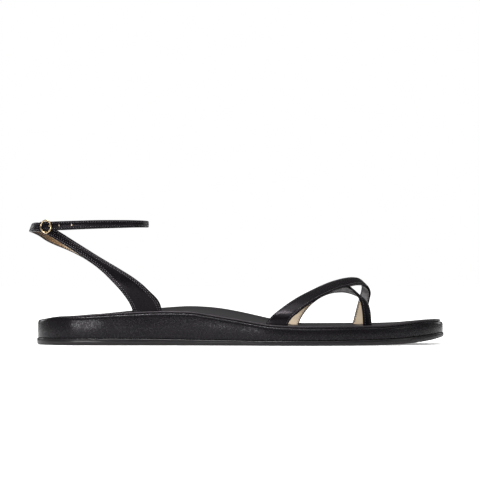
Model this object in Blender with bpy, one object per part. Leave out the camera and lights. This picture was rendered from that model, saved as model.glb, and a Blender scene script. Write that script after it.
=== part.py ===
"""Flat ankle strap sandal, right shoe, modelled as its separate parts.

The toe points to +X, the lateral side faces -Y, the medial side faces +Y and
+Z is up. The outsole rests on z = 0. Sizes are millimetres unless the name
says otherwise, and every mesh is written in metres.
"""

import math

import bmesh
import bpy
from mathutils import Vector

MM = 0.001

# Sizes shared by several parts
HEEL_X = -122.3          # back end of the outsole
GAP = 0.3                # clearance between neighbouring parts
INSOLE_THICK = 1.5       # top of the insole above the midsole
HALF_STEPS = 48          # points along one side of the outline
MIDDLE = (0.442, 0.053, 0.0)   # middle of the whole sandal, put at the origin

# Outline of the outsole. A row for each section along the shoe.
# run: distance from the heel end, lateral and medial: the two sides.
PLAN = (
    # run, lateral, medial
    (0.0, 1.0, 1.0),
    (1.2, -7.5, 9.5),
    (5.0, -16.0, 18.0),
    (11.0, -23.2, 24.8),
    (20.0, -28.8, 29.6),
    (34.0, -31.9, 31.9),
    (52.0, -32.6, 31.6),
    (76.0, -33.4, 29.6),
    (100.0, -35.6, 28.6),
    (124.0, -39.3, 31.6),
    (146.0, -43.3, 38.0),
    (166.0, -44.6, 42.8),
    (184.0, -43.0, 44.6),
    (202.0, -38.6, 44.2),
    (218.0, -31.6, 41.6),
    (232.0, -22.2, 35.8),
    (243.0, -10.4, 27.0),
    (249.0, 1.4, 19.0),
    (250.7, 11.0, 11.0),
)

# Heights along the shoe. bottom: underside, seam: top of the outsole,
# lateral_rim and medial_rim: top of the insole at its two edges,
# dish: how far the middle of the insole lies below its rims.
LEVELS = (
    # run, bottom, seam, lateral_rim, medial_rim, dish
    (0.0, 0.0, 4.0, 14.9, 14.9, 0.0),
    (5.0, 0.0, 4.0, 15.9, 15.8, 0.2),
    (11.0, 0.0, 4.0, 16.9, 16.7, 1.2),
    (20.0, 0.0, 4.0, 17.5, 17.0, 2.2),
    (38.0, 0.0, 4.0, 19.0, 18.3, 2.6),
    (58.0, 0.0, 4.0, 20.1, 20.3, 2.4),
    (78.0, 0.0, 3.8, 20.8, 22.2, 2.0),
    (94.0, 0.0, 3.5, 20.6, 23.1, 1.8),
    (104.0, 0.0, 3.3, 19.2, 22.7, 1.8),
    (114.0, 0.0, 3.2, 17.6, 21.6, 1.8),
    (124.0, 0.0, 3.0, 15.9, 19.8, 1.9),
    (134.0, 0.0, 2.8, 14.1, 17.6, 2.1),
    (143.0, 0.0, 2.8, 12.7, 15.5, 2.3),
    (153.0, 0.0, 2.8, 12.1, 13.6, 2.4),
    (165.0, 0.0, 2.8, 11.8, 12.3, 2.2),
    (190.0, 0.0, 3.1, 11.8, 12.4, 1.2),
    (210.0, 0.2, 3.6, 12.1, 12.5, 0.7),
    (221.0, 0.5, 4.1, 13.0, 12.9, 0.5),
    (232.0, 1.4, 5.0, 14.3, 13.9, 0.3),
    (241.0, 2.6, 6.1, 15.2, 14.9, 0.1),
    (247.0, 3.8, 6.9, 15.3, 15.2, 0.0),
    (250.7, 4.5, 7.3, 15.1, 15.1, 0.0),
)

# Toe strap that lies on top, from the lateral edge over to the medial side
# of the big toe. Rear and front edge of its outer face, a row each section.
OVER_STRAP = (
    # rear_x, rear_y, rear_z, front_x, front_y, front_z
    (17.2, -38.2, 11.9, 30.9, -40.2, 11.6),
    (19.2, -38.8, 15.2, 32.3, -40.9, 15.0),
    (22.1, -38.3, 18.6, 34.4, -40.6, 18.0),
    (25.9, -36.7, 21.7, 37.0, -39.3, 20.2),
    (30.6, -33.3, 25.1, 39.8, -36.6, 22.6),
    (36.8, -27.0, 29.0, 44.2, -31.2, 25.5),
    (44.3, -17.8, 32.8, 50.8, -22.4, 29.2),
    (51.9, -7.6, 36.2, 57.8, -12.1, 32.4),
    (59.5, 2.6, 39.0, 64.6, -1.8, 34.9),
    (67.0, 11.0, 40.8, 71.0, 7.2, 36.2),
    (72.7, 18.0, 41.3, 75.9, 14.2, 36.9),
    (76.8, 23.2, 40.5, 79.9, 19.8, 36.5),
    (79.0, 27.2, 38.4, 83.0, 24.2, 34.7),
    (79.2, 30.0, 35.2, 84.4, 27.4, 31.2),
    (78.4, 31.8, 31.2, 83.8, 29.6, 27.4),
    (76.6, 32.6, 25.4, 82.7, 31.0, 22.4),
    (74.7, 32.7, 18.6, 81.5, 31.6, 17.0),
    (73.0, 32.2, 11.6, 80.4, 31.2, 11.4),
)

# Toe strap that lies underneath, from the medial edge over the big toe and
# down between the toes.
UNDER_STRAP = (
    # front_x, front_y, front_z, rear_x, rear_y, rear_z
    (38.9, 29.6, 10.2, 30.0, 29.2, 10.2),
    (40.3, 30.8, 14.6, 32.8, 30.6, 15.2),
    (43.0, 31.2, 19.0, 36.8, 31.2, 20.4),
    (47.0, 29.8, 24.2, 41.8, 29.4, 25.8),
    (52.6, 26.4, 28.9, 47.6, 24.2, 31.2),
    (58.4, 22.8, 31.6, 53.6, 18.6, 35.0),
    (63.2, 20.0, 32.4, 58.8, 14.8, 37.2),
    (67.2, 17.4, 32.4, 63.4, 12.0, 38.2),
    (70.5, 15.4, 31.9, 67.4, 9.8, 37.4),
    (73.5, 13.4, 31.0, 70.6, 8.0, 35.5),
    (76.6, 11.2, 29.6, 73.2, 6.2, 33.3),
    (79.4, 8.9, 27.8, 75.3, 4.6, 30.9),
    (81.5, 6.9, 25.4, 76.9, 3.4, 27.9),
    (82.8, 5.5, 22.0, 77.8, 2.6, 23.8),
    (83.5, 4.7, 17.4, 78.4, 2.1, 18.2),
    (83.8, 4.2, 11.4, 78.7, 2.0, 11.4),
)

# Heel strap, from its lateral root to the middle of the back of the heel.
# Lower and upper edge of its outer face. The medial half mirrors it.
HEEL_STRAP = (
    # lower_x, lower_y, lower_z, upper_x, upper_y, upper_z
    (-62.7, -28.6, 20.8, -45.0, -29.2, 21.4),
    (-64.6, -29.4, 25.4, -47.0, -30.0, 26.3),
    (-68.0, -30.1, 30.5, -51.8, -30.5, 31.9),
    (-71.9, -30.3, 35.3, -57.0, -30.5, 36.9),
    (-75.9, -29.9, 39.6, -62.9, -29.9, 41.5),
    (-80.1, -29.0, 43.8, -70.0, -28.8, 46.1),
    (-85.0, -27.8, 48.0, -77.6, -27.5, 50.6),
    (-90.6, -26.5, 52.0, -84.8, -26.1, 54.9),
    (-96.6, -25.2, 55.9, -92.0, -24.8, 59.4),
    (-103.1, -23.5, 60.0, -99.4, -23.2, 64.0),
    (-109.8, -21.1, 64.0, -106.8, -20.9, 68.6),
    (-115.6, -18.0, 67.2, -113.4, -18.0, 72.3),
    (-120.4, -14.0, 69.0, -118.8, -14.0, 74.3),
    (-124.6, -8.9, 69.3, -122.9, -9.0, 74.7),
    (-126.9, -4.2, 69.2, -124.9, -4.2, 74.4),
    (-127.4, 0.5, 69.1, -125.3, 0.5, 74.3),
)
HEEL_MIDDLE_Y = 0.5
MEDIAL_ROOT_RISE = 0.8       # the medial rim is higher at the strap's root
MEDIAL_ROOT_IN = (2.9, 4.8)  # how much further in its two edges go down there
MEDIAL_SPREAD = 0.0011       # the medial half lies further back, for each mm
SPREAD_X = 2.5               # that it is out from the middle
MEDIAL_UPPER_SHARE = 0.4     # share of the drop that the upper edge takes
MEDIAL_DROP = (
    # x, how far the medial lower edge hangs below the lateral one
    (-127.4, 0.0), (-126.3, 0.7), (-124.4, 1.6), (-122.7, 2.3),
    (-120.8, 3.0), (-118.7, 3.6), (-114.0, 3.2), (-107.7, 1.9),
    (-100.0, 0.6), (-94.8, 0.0), (-40.0, 0.0),
)

# Ankle strap, a level loop round the ankle
ANKLE_CENTRE = (-90.7, 0.5)
ANKLE_FRONT = 37.0           # half length ahead of the centre
ANKLE_REAR = 40.0            # half length behind, outside the heel strap
ANKLE_SIDE = 27.0            # half width
ANKLE_TIP_ANGLE = 44.0       # free end, degrees from the back of the heel
ANKLE_SEWN_ANGLE = 322.0     # end that is sewn to the heel strap
SEWN_REAR = 37.8             # half length and half width at the sewn end
SEWN_SIDE = 24.7
ANKLE_MEDIAL_RISE = 0.5      # the medial side is a little higher
ANKLE_LEVELS = (
    # x, bottom, top
    (-121.0, 69.5, 74.8),
    (-115.0, 69.6, 74.9),
    (-108.0, 69.8, 75.1),
    (-98.0, 70.3, 75.4),
    (-82.0, 70.9, 75.8),
    (-64.0, 71.3, 75.9),
    (-53.0, 71.5, 75.6),
)
ANKLE_HOLES = (-107.6, -99.8)   # punched holes ahead of the prong's hole
HOLE_DIAMETER = 1.2

STRAP_THICK = 1.5
ANKLE_THICK = 1.4
STRAP_EDGE = 0.5             # rounding of a strap's outer edges
STRAP_CROWN = 0.12           # swell of the middle of its outer face

# Buckle, a ring with a bar set back behind the strap
RING_WIDTH = 8.0             # along the strap
RING_HEIGHT = 8.5
RING_DROP = 0.35             # middle of the ring below the strap's middle
RING_WIRE = 0.95
BAR_WIRE = 0.72
BAR_LEG = 3.35               # height of the bar's legs from the middle
PRONG_WIRE = 0.75


def monotone(table, column, at):
    """Value of a table's column at a run, on a smooth curve without bumps."""
    xs = [row[0] for row in table]
    ys = [row[column] for row in table]
    if at <= xs[0]:
        return ys[0]
    if at >= xs[-1]:
        return ys[-1]
    last = len(xs) - 1
    cell = next(i for i in range(last) if at <= xs[i + 1])
    rise = [(ys[i + 1] - ys[i]) / (xs[i + 1] - xs[i]) for i in range(last)]

    def slope(i):
        if i == 0:
            return rise[0]
        if i == last:
            return rise[-1]
        before, after = rise[i - 1], rise[i]
        if before * after <= 0.0:
            return 0.0
        return 2.0 * before * after / (before + after)

    width = xs[cell + 1] - xs[cell]
    t = (at - xs[cell]) / width
    start, end = slope(cell) * width, slope(cell + 1) * width
    return ((2 * t ** 3 - 3 * t ** 2 + 1) * ys[cell]
            + (t ** 3 - 2 * t ** 2 + t) * start
            + (3 * t ** 2 - 2 * t ** 3) * ys[cell + 1]
            + (t ** 3 - t ** 2) * end)


def spline(points, per_span, closed=False):
    """Centripetal curve through points, sampled evenly in each span."""
    count = len(points)

    def node(i):
        if closed:
            return points[i % count]
        if i < 0:
            return points[0] * 2.0 - points[1]
        if i >= count:
            return points[-1] * 2.0 - points[-2]
        return points[i]

    samples = []
    for span in range(count if closed else count - 1):
        p0, p1, p2, p3 = (node(span + k) for k in (-1, 0, 1, 2))
        t1 = math.sqrt((p1 - p0).length)
        t2 = t1 + math.sqrt((p2 - p1).length)
        t3 = t2 + math.sqrt((p3 - p2).length)
        for step in range(per_span):
            t = t1 + (t2 - t1) * step / per_span
            a1 = p0.lerp(p1, t / t1)
            a2 = p1.lerp(p2, (t - t1) / (t2 - t1))
            a3 = p2.lerp(p3, (t - t2) / (t3 - t2))
            b1 = a1.lerp(a2, t / t2)
            b2 = a2.lerp(a3, (t - t1) / (t3 - t1))
            samples.append(b1.lerp(b2, (t - t1) / (t2 - t1)))
    if not closed:
        samples.append(points[-1].copy())
    return samples


def resample(samples, lengths_of, steps):
    """Samples picked at even steps of length; the vectors may hold more."""
    run = [0.0]
    for before, after in zip(samples, samples[1:]):
        run.append(run[-1] + (lengths_of(after) - lengths_of(before)).length)
    picked = []
    cell = 0
    for step in range(steps + 1):
        target = run[-1] * step / steps
        while cell < len(run) - 2 and run[cell + 1] < target:
            cell += 1
        part = (target - run[cell]) / (run[cell + 1] - run[cell])
        picked.append(samples[cell].lerp(samples[cell + 1], min(part, 1.0)))
    return picked


def plan_outline():
    """Points and inward directions round the outsole, from the heel end
    along the lateral side to the toe and back along the medial side."""
    lateral = [Vector((HEEL_X + row[0], row[1])) for row in PLAN]
    medial = [Vector((HEEL_X + row[0], row[2])) for row in PLAN[1:-1]]
    per_span = 24
    ring = spline(lateral + medial[::-1], per_span, closed=True)
    half = per_span * (len(PLAN) - 1)
    sides = (ring[:half + 1], ring[half:] + ring[:1])
    points = []
    for side in sides:
        points += resample(side, lambda point: point, HALF_STEPS)[:-1]
    inward = []
    for i, point in enumerate(points):
        along = points[(i + 1) % len(points)] - points[i - 1]
        inward.append(Vector((-along.y, along.x)).normalized())
    return points, inward


OUTLINE, INWARD = plan_outline()


def footbed(x, y):
    """Height of the top of the insole."""
    run = x - HEEL_X
    lateral, medial = monotone(PLAN, 1, run), monotone(PLAN, 2, run)
    across = (y - lateral) / max(medial - lateral, 1.0)
    across = min(max(across, 0.0), 1.0)
    blend = across * across * (3.0 - 2.0 * across)
    low, high = monotone(LEVELS, 3, run), monotone(LEVELS, 4, run)
    rim = low + (high - low) * blend
    inner = min(abs(2.0 * across - 1.0) / 0.86, 1.0)
    return rim - monotone(LEVELS, 5, run) * (1.0 - inner ** 4)


def underside(x, y):
    return monotone(LEVELS, 1, x - HEEL_X)


def seam(x, y):
    return monotone(LEVELS, 2, x - HEEL_X)


def material(name, colour, roughness, metallic=0.0):
    made = bpy.data.materials.new(name)
    made.use_nodes = True
    shader = made.node_tree.nodes["Principled BSDF"]
    shader.inputs["Base Color"].default_value = (*colour, 1.0)
    shader.inputs["Roughness"].default_value = roughness
    shader.inputs["Metallic"].default_value = metallic
    return made


def body(name, points, faces, made_of):
    """Closed mesh object from points in millimetres."""
    mesh = bpy.data.meshes.new(name)
    placed = [(Vector(point) - Vector(MIDDLE)) * MM for point in points]
    mesh.from_pydata(placed, [], faces)
    shape = bmesh.new()
    shape.from_mesh(mesh)
    bmesh.ops.recalc_face_normals(shape, faces=shape.faces)
    shape.to_mesh(mesh)
    shape.free()
    mesh.materials.append(made_of)
    made = bpy.data.objects.new(name, mesh)
    bpy.context.scene.collection.objects.link(made)
    return made


def boolean(target, other, operation):
    """Join another body to the target, or cut it away, and drop the other."""
    modifier = target.modifiers.new(operation.title(), "BOOLEAN")
    modifier.operation = operation
    modifier.solver = "EXACT"
    modifier.object = other
    bpy.context.view_layer.update()
    graph = bpy.context.evaluated_depsgraph_get()
    merged = bpy.data.meshes.new_from_object(target.evaluated_get(graph))
    target.modifiers.remove(modifier)
    old = target.data
    target.data = merged
    merged.name = target.name
    bpy.data.meshes.remove(old)
    bpy.data.objects.remove(other)


def sole_layer(name, rings, cells, bottom, top, made_of):
    """Closed layer of the sole. Each ring is an inset from the outline with
    the height function of its points; cells is the number of faces across."""
    count = len(OUTLINE)
    points, faces = [], []
    for inset, height in rings:
        for place, inward in zip(OUTLINE, INWARD):
            x, y = place + inward * inset
            points.append((x, y, height(x, y)))
    for ring in range(len(rings) - 1):
        for i in range(count):
            a, b = ring * count + i, ring * count + (i + 1) % count
            faces.append((a, b, b + count, a + count))

    def cap(first, height):
        rows = [[first]]
        for j in range(1, HALF_STEPS):
            left, right = first + j, first + count - j
            start, end = Vector(points[left]), Vector(points[right])
            row = [left]
            for k in range(1, cells):
                x, y, _ = start.lerp(end, k / cells)
                points.append((x, y, height(x, y)))
                row.append(len(points) - 1)
            rows.append(row + [right])
        rows.append([first + HALF_STEPS])
        for near, far in zip(rows, rows[1:]):
            for k in range(cells):
                corners = [near[min(k, len(near) - 1)],
                           near[min(k + 1, len(near) - 1)],
                           far[min(k + 1, len(far) - 1)],
                           far[min(k, len(far) - 1)]]
                faces.append(tuple(dict.fromkeys(corners)))

    cap(0, bottom)
    cap((len(rings) - 1) * count, top)
    return body(name, points, faces, made_of)


def strap_stations(rows, steps):
    """Left and right edge of a strap's outer face at even steps along it."""
    joined = [Vector(tuple(row)) for row in rows]
    samples = spline_pairs(joined)
    return resample(samples, strap_middle, steps)


def strap_middle(pair):
    return Vector(((pair[0] + pair[3]) / 2, (pair[1] + pair[4]) / 2,
                   (pair[2] + pair[5]) / 2))


def spline_pairs(joined):
    """Spline through six-number rows, both edges of a strap at once."""
    left = spline([Vector(row[0:3]) for row in joined], 16)
    right = spline([Vector(row[3:6]) for row in joined], 16)
    return [Vector((*a, *b)) for a, b in zip(left, right)]


def strap(name, stations, thick, made_of, grow=0.0):
    """Flat strap with rounded edges through stations of its outer face.
    grow makes it larger all round, for the slot that it passes through."""
    points, faces = [], []
    count = len(stations)
    edge = STRAP_EDGE
    for i, pair in enumerate(stations):
        left, right = Vector(pair[0:3]), Vector(pair[3:6])
        before = strap_middle(stations[max(i - 1, 0)])
        after = strap_middle(stations[min(i + 1, count - 1)])
        across = (left - right).normalized()
        outward = (after - before).cross(across).normalized()
        middle = (left + right) / 2
        half = (left - right).length / 2 + grow
        low = -thick - grow
        section = (
            (half, -edge + grow), (half - edge * 0.3, -edge * 0.3 + grow),
            (half - edge, grow), (0.0, STRAP_CROWN + grow),
            (edge - half, grow), (edge * 0.3 - half, -edge * 0.3 + grow),
            (-half, -edge + grow), (-half, low + edge * 0.6),
            (edge * 0.6 - half, low), (0.0, low),
            (half - edge * 0.6, low), (half, low + edge * 0.6),
        )
        points += [middle + across * u + outward * w for u, w in section]
    size = len(section)
    for i in range(count - 1):
        for k in range(size):
            a, b = i * size + k, i * size + (k + 1) % size
            faces.append((a, b, b + size, a + size))
    faces.append(tuple(range(size)))
    faces.append(tuple((count - 1) * size + k for k in range(size)))
    return body(name, points, faces, made_of)


def rooted(rows, at_start=True, at_end=True):
    """Rows with a root row added at an end that goes down into the insole."""
    def root(row):
        lx, ly, _, rx, ry, _ = row
        depth = INSOLE_THICK - GAP
        return (lx, ly, footbed(lx, ly) - depth,
                rx, ry, footbed(rx, ry) - depth)

    grown = list(rows)
    if at_start:
        grown.insert(0, root(rows[0]))
    if at_end:
        grown.append(root(rows[-1]))
    return grown


def root_cutter(stations, thick):
    """Body of the slot for the strap end at the first of the stations."""
    first, second = stations[0], stations[1]
    deeper = first - (second - first) * (2.0 / (second - first).length)
    near = [deeper] + list(stations[:ROOT_STATIONS])
    return strap("slot", near, thick, MATERIALS["leather"], GAP)


ROOT_STATIONS = 5


def tube(name, path, radius, sides, made_of, closed=False):
    """Round wire along a path of points."""
    points, faces = [], []
    count = len(path)
    normal = None
    for i, place in enumerate(path):
        before = path[i - 1] if closed or i else path[0]
        after = path[(i + 1) % count] if closed or i < count - 1 else path[-1]
        along = (after - before).normalized()
        if normal is None:
            normal = along.orthogonal().normalized()
        normal = (normal - along * normal.dot(along)).normalized()
        other = along.cross(normal)
        for k in range(sides):
            turn = 2 * math.pi * k / sides
            points.append(place + normal * (radius * math.cos(turn))
                          + other * (radius * math.sin(turn)))
    for i in range(count if closed else count - 1):
        for k in range(sides):
            a, b = i * sides + k, i * sides + (k + 1) % sides
            c, d = (b + sides) % len(points), (a + sides) % len(points)
            faces.append((a, b, c, d))
    if not closed:
        faces.append(tuple(range(sides)))
        faces.append(tuple((count - 1) * sides + k for k in range(sides)))
    return body(name, points, faces, made_of)


def clear_scene():
    for item in list(bpy.data.objects):
        bpy.data.objects.remove(item)
    for group in (bpy.data.meshes, bpy.data.materials):
        for item in list(group):
            group.remove(item)


def make_outsole():
    round_low, round_high = 0.8, 0.5
    rings = (
        (round_low, underside),
        (round_low * 0.3, lambda x, y: underside(x, y) + round_low * 0.3),
        (0.0, lambda x, y: underside(x, y) + round_low),
        (0.0, lambda x, y: seam(x, y) - round_high),
        (round_high, seam),
    )
    return sole_layer("outsole", rings, 4, underside, seam,
                      MATERIALS["outsole_rubber"])


def make_midsole():
    wall, shoulder = 0.6, 1.2

    def base(x, y):
        return seam(x, y) + GAP

    def deck(x, y):
        return footbed(x, y) - INSOLE_THICK

    rings = (
        (wall, base),
        (wall, lambda x, y: deck(x, y) - shoulder),
        (wall + shoulder * 0.12, lambda x, y: deck(x, y) - shoulder * 0.5),
        (wall + shoulder * 0.45, lambda x, y: deck(x, y) - shoulder * 0.15),
        (wall + shoulder, deck),
        (wall + shoulder * 2.2, deck),
    )
    return sole_layer("midsole", rings, 7, base, deck,
                      MATERIALS["sole_leather"])


def make_insole():
    edge = 2.1

    def base(x, y):
        return footbed(x, y) - INSOLE_THICK + GAP

    rings = (
        (edge + 0.2, base),
        (edge, lambda x, y: base(x, y) + 0.25),
        (edge + 0.1, lambda x, y: footbed(x, y) - 0.55),
        (edge + 0.5, lambda x, y: footbed(x, y) - 0.2),
        (edge + 1.3, footbed),
    )
    return sole_layer("insole", rings, 9, base, footbed,
                      MATERIALS["insole_leather"])


def make_toe_straps(insole):
    over = strap_stations(rooted(OVER_STRAP), 42)
    under = strap_stations(rooted(UNDER_STRAP), 38)
    for stations in (over, over[::-1], under, under[::-1]):
        if stations[0] is not over[0] and stations[0] is not under[0]:
            stations = [Vector((*pair[3:6], *pair[0:3])) for pair in stations]
        boolean(insole, root_cutter(stations, STRAP_THICK), "DIFFERENCE")
    straps = strap("toe_straps", over, STRAP_THICK, MATERIALS["leather"])
    lower = strap("lower", under, STRAP_THICK, MATERIALS["leather"])
    boolean(straps, lower, "UNION")
    return straps


def medial_edge(x, y, z, share, root_in):
    """Point of the heel strap's medial half, from the lateral one."""
    y = 2 * HEEL_MIDDLE_Y - y
    x = SPREAD_X + (x - SPREAD_X) * (1.0 + MEDIAL_SPREAD * y)
    near_root = min(max((44.0 - z) / 24.0, 0.0), 1.0)
    rise = MEDIAL_ROOT_RISE * min(max((30.0 - z) / 8.0, 0.0), 1.0)
    drop = share * monotone(MEDIAL_DROP, 1, x)
    return x, y - root_in * near_root, z + rise - drop


def heel_rows():
    """Rows of the whole heel strap, lateral root to medial root."""
    medial = []
    for row in HEEL_STRAP[-2::-1]:
        lower = medial_edge(*row[:3], 1.0, MEDIAL_ROOT_IN[0])
        upper = medial_edge(*row[3:], MEDIAL_UPPER_SHARE, MEDIAL_ROOT_IN[1])
        medial.append(lower + upper)
    return list(HEEL_STRAP) + medial


def ankle_point(angle):
    """Plan position of the ankle strap's outer face. The angle runs from the
    back of the heel over the lateral side, the front and the medial side."""
    turn = math.radians(angle)
    sewn = max(angle - 270.0, 0.0) / (ANKLE_SEWN_ANGLE - 270.0)
    side = ANKLE_SIDE + (SEWN_SIDE - ANKLE_SIDE) * sewn
    behind = ANKLE_FRONT if angle > 180.0 else ANKLE_REAR
    behind += (SEWN_REAR - behind) * sewn
    length = behind if math.cos(turn) > 0.0 else ANKLE_FRONT
    return Vector((ANKLE_CENTRE[0] - length * math.cos(turn),
                   ANKLE_CENTRE[1] - side * math.sin(turn)))


def ankle_stations(steps):
    rows = []
    sweep = ANKLE_SEWN_ANGLE - ANKLE_TIP_ANGLE
    for step in range(steps + 1):
        x, y = ankle_point(ANKLE_TIP_ANGLE + sweep * step / steps)
        rise = ANKLE_MEDIAL_RISE * min(max(y / 15.0, 0.0), 1.0)
        bottom = monotone(ANKLE_LEVELS, 1, x) + rise
        top = monotone(ANKLE_LEVELS, 2, x) + rise
        rows.append(Vector((x, y, top, x, y, bottom)))
    return resample(rows, strap_middle, steps)


def frame_at(x):
    """Place on the lateral side of the ankle strap with the given x: the
    middle of its outer face, the forward and the outward direction."""
    angle = ANKLE_TIP_ANGLE
    while ankle_point(angle).x < x:
        angle += 0.1
    place = ankle_point(angle)
    ahead = (ankle_point(angle + 1.0) - ankle_point(angle - 1.0)).normalized()
    height = (monotone(ANKLE_LEVELS, 1, x) + monotone(ANKLE_LEVELS, 2, x)) / 2
    forward = Vector((ahead.x, ahead.y, 0.0))
    return Vector((*place, height)), forward, forward.cross(Vector((0, 0, 1)))


def hole_cutter(x, diameter, stretch=1.0):
    """Round pin through the strap; stretch makes the hole longer along it."""
    place, forward, outward = frame_at(x)
    pin = tube("pin", [place - outward * 3.0, place + outward * 1.5],
               diameter / 2, 12, MATERIALS["leather"])
    if stretch > 1.0:
        for vertex in pin.data.vertices:
            offset = (vertex.co / MM + Vector(MIDDLE) - place).dot(forward)
            vertex.co += forward * offset * (stretch - 1.0) * MM
    return pin


BUCKLE_X = -115.2
PRONG_HOLE_SHIFT = 1.35      # hole for the prong, ahead of the bar


def make_heel_and_ankle_strap(insole):
    heel = strap_stations(rooted(heel_rows()), 50)
    back = [Vector((*pair[3:6], *pair[0:3])) for pair in heel[::-1]]
    for stations in (heel, back):
        boolean(insole, root_cutter(stations, STRAP_THICK), "DIFFERENCE")
    upper = strap("heel_ankle_strap", heel, STRAP_THICK, MATERIALS["leather"])
    loop = strap("loop", ankle_stations(56), ANKLE_THICK,
                 MATERIALS["leather"])
    for x in ANKLE_HOLES:
        boolean(loop, hole_cutter(x, HOLE_DIAMETER), "DIFFERENCE")
    prong_hole = hole_cutter(BUCKLE_X + PRONG_HOLE_SHIFT, 1.5, 1.5)
    boolean(loop, prong_hole, "DIFFERENCE")
    boolean(upper, loop, "UNION")
    return upper


def make_buckle():
    place, forward, outward = frame_at(BUCKLE_X)
    up = Vector((0.0, 0.0, 1.0))
    centre = place + outward * (GAP + RING_WIRE / 2) - up * RING_DROP
    wide, high = (RING_WIDTH - RING_WIRE) / 2, (RING_HEIGHT - RING_WIRE) / 2
    circle = [centre + forward * (wide * math.cos(turn))
              + up * (high * math.sin(turn))
              for turn in (2 * math.pi * k / 32 for k in range(32))]
    ring = tube("buckle", circle, RING_WIRE / 2, 8, MATERIALS["gold"], True)
    back = GAP + RING_WIRE / 2 + ANKLE_THICK + GAP + BAR_WIRE / 2
    round_off = 0.5
    path = []
    for side in (1.0, -1.0):
        leg = [centre + up * (side * BAR_LEG) + outward * 0.1,
               centre + up * (side * BAR_LEG) - outward * (back - round_off),
               centre + up * (side * (BAR_LEG - round_off)) - outward * back]
        path += leg if side > 0 else leg[::-1]
    bar = tube("bar", path, BAR_WIRE / 2, 8, MATERIALS["gold"])
    boolean(ring, bar, "UNION")
    return ring


def make_prong():
    """Prong from beside the bar out through the hole and over the ring."""
    place, forward, outward = frame_at(BUCKLE_X)
    reach = RING_WIDTH / 2 + 0.2
    low = -ANKLE_THICK - GAP - BAR_WIRE / 2
    high = GAP + PRONG_WIRE / 2
    over = GAP + RING_WIRE + GAP + PRONG_WIRE / 2
    start = BAR_WIRE / 2 + GAP + PRONG_WIRE / 2
    sections = ((start, low), (start + 0.1, low + 0.9), (start + 0.45, -0.1),
                (start + 1.0, high + 0.1), (reach - 1.4, over - 0.15),
                (reach - 0.5, over), (reach, over))
    path = [place + forward * along + outward * out
            for along, out in sections]
    path = spline(path, 3)
    return tube("buckle_prong", path, PRONG_WIRE / 2, 8, MATERIALS["gold"])


clear_scene()
MATERIALS = {
    "leather": material("strap_leather", (0.020, 0.019, 0.021), 0.42),
    "sole_leather": material("sole_leather", (0.020, 0.019, 0.021), 0.38),
    "insole_leather": material("insole_leather", (0.022, 0.021, 0.023), 0.45),
    "outsole_rubber": material("outsole_rubber", (0.030, 0.029, 0.030), 0.60),
    "gold": material("gold_metal", (0.83, 0.66, 0.38), 0.22, 1.0),
}
make_outsole()
make_midsole()
insole_body = make_insole()
make_toe_straps(insole_body)
make_heel_and_ankle_strap(insole_body)
make_buckle()
make_prong()
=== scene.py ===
"""Looks of a flat black ankle strap sandal, right shoe, seen from its
lateral side. Tables of its sizes are in millimetres, and the studio and the
meshes are in metres."""

import math

import bmesh
import bpy
import numpy as np
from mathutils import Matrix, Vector


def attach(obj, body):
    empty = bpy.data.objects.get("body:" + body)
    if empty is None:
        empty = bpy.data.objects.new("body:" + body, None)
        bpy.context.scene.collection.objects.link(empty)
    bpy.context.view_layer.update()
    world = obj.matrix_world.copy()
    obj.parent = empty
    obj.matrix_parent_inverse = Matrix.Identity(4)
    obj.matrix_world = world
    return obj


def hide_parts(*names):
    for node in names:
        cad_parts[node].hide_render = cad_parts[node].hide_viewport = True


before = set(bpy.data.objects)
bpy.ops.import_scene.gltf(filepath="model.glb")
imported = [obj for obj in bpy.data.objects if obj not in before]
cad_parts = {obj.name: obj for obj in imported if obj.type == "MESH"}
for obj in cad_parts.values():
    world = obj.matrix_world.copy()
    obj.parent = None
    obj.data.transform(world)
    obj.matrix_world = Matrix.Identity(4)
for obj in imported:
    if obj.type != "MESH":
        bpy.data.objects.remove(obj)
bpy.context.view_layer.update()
scene = bpy.context.scene
MM = 0.001

# Studio
# The sandal stands on a pale floor in a white room, under soft lights from
# overhead and from the front, with weaker ones low down at its two ends.
# The camera is level and sees its lateral side, as in the photo.
CAMERA_X, CAMERA_DISTANCE, CAMERA_HEIGHT = 0.00202, 1.8, 0.0455
FRAME_WIDTH = 0.2952         # width of the view at the sandal, in metres
HORIZON_DROP = 0.0625        # of the frame, below its middle
SENSOR = 36.0                # width in millimetres
LIGHTS = (
    # name, place, aim, size, watts
    ("overhead", (0.0, 0.1, 1.3), (0.0, 0.0, 0.0), (1.6, 0.7), 7.5),
    ("overhead_heel", (-0.32, -0.3, 1.3), (-0.08, 0.0, 0.0), (0.6, 0.2), 17.0),
    ("heel_side", (-0.22, -0.35, 0.025), (-0.09, 0.0, 0.01), (0.22, 0.05),
     0.32),
    ("heel_back", (-1.1, 1.0, 0.35), (-0.12, 0.0, 0.05), (0.4, 0.4), 1.8),
    ("toe_back", (1.1, 1.2, 0.35), (0.0, 0.0, 0.05), (0.4, 0.4), 1.2),
    ("toe_side", (1.3, -0.5, 0.4), (0.1, 0.0, 0.03), (0.5, 0.5), 1.0),
    ("front", (0.1, -1.9, 1.9), (0.0, 0.0, 0.03), (1.6, 1.0), 15.0),
)
FLOOR_REACH, FLOOR_DROP = 6.0, 0.0002

camera_data = bpy.data.cameras.new("camera")
camera_data.sensor_width = SENSOR
camera_data.lens = SENSOR * CAMERA_DISTANCE / FRAME_WIDTH
camera_data.shift_y = HORIZON_DROP
camera_data.clip_start, camera_data.clip_end = 0.1, 50.0
camera = bpy.data.objects.new("camera", camera_data)
camera.location = (CAMERA_X, -CAMERA_DISTANCE, CAMERA_HEIGHT)
camera.rotation_euler = (math.radians(90.0), 0.0, 0.0)
scene.collection.objects.link(camera)
scene.camera = camera
scene.view_settings.view_transform = "Standard"


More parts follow.
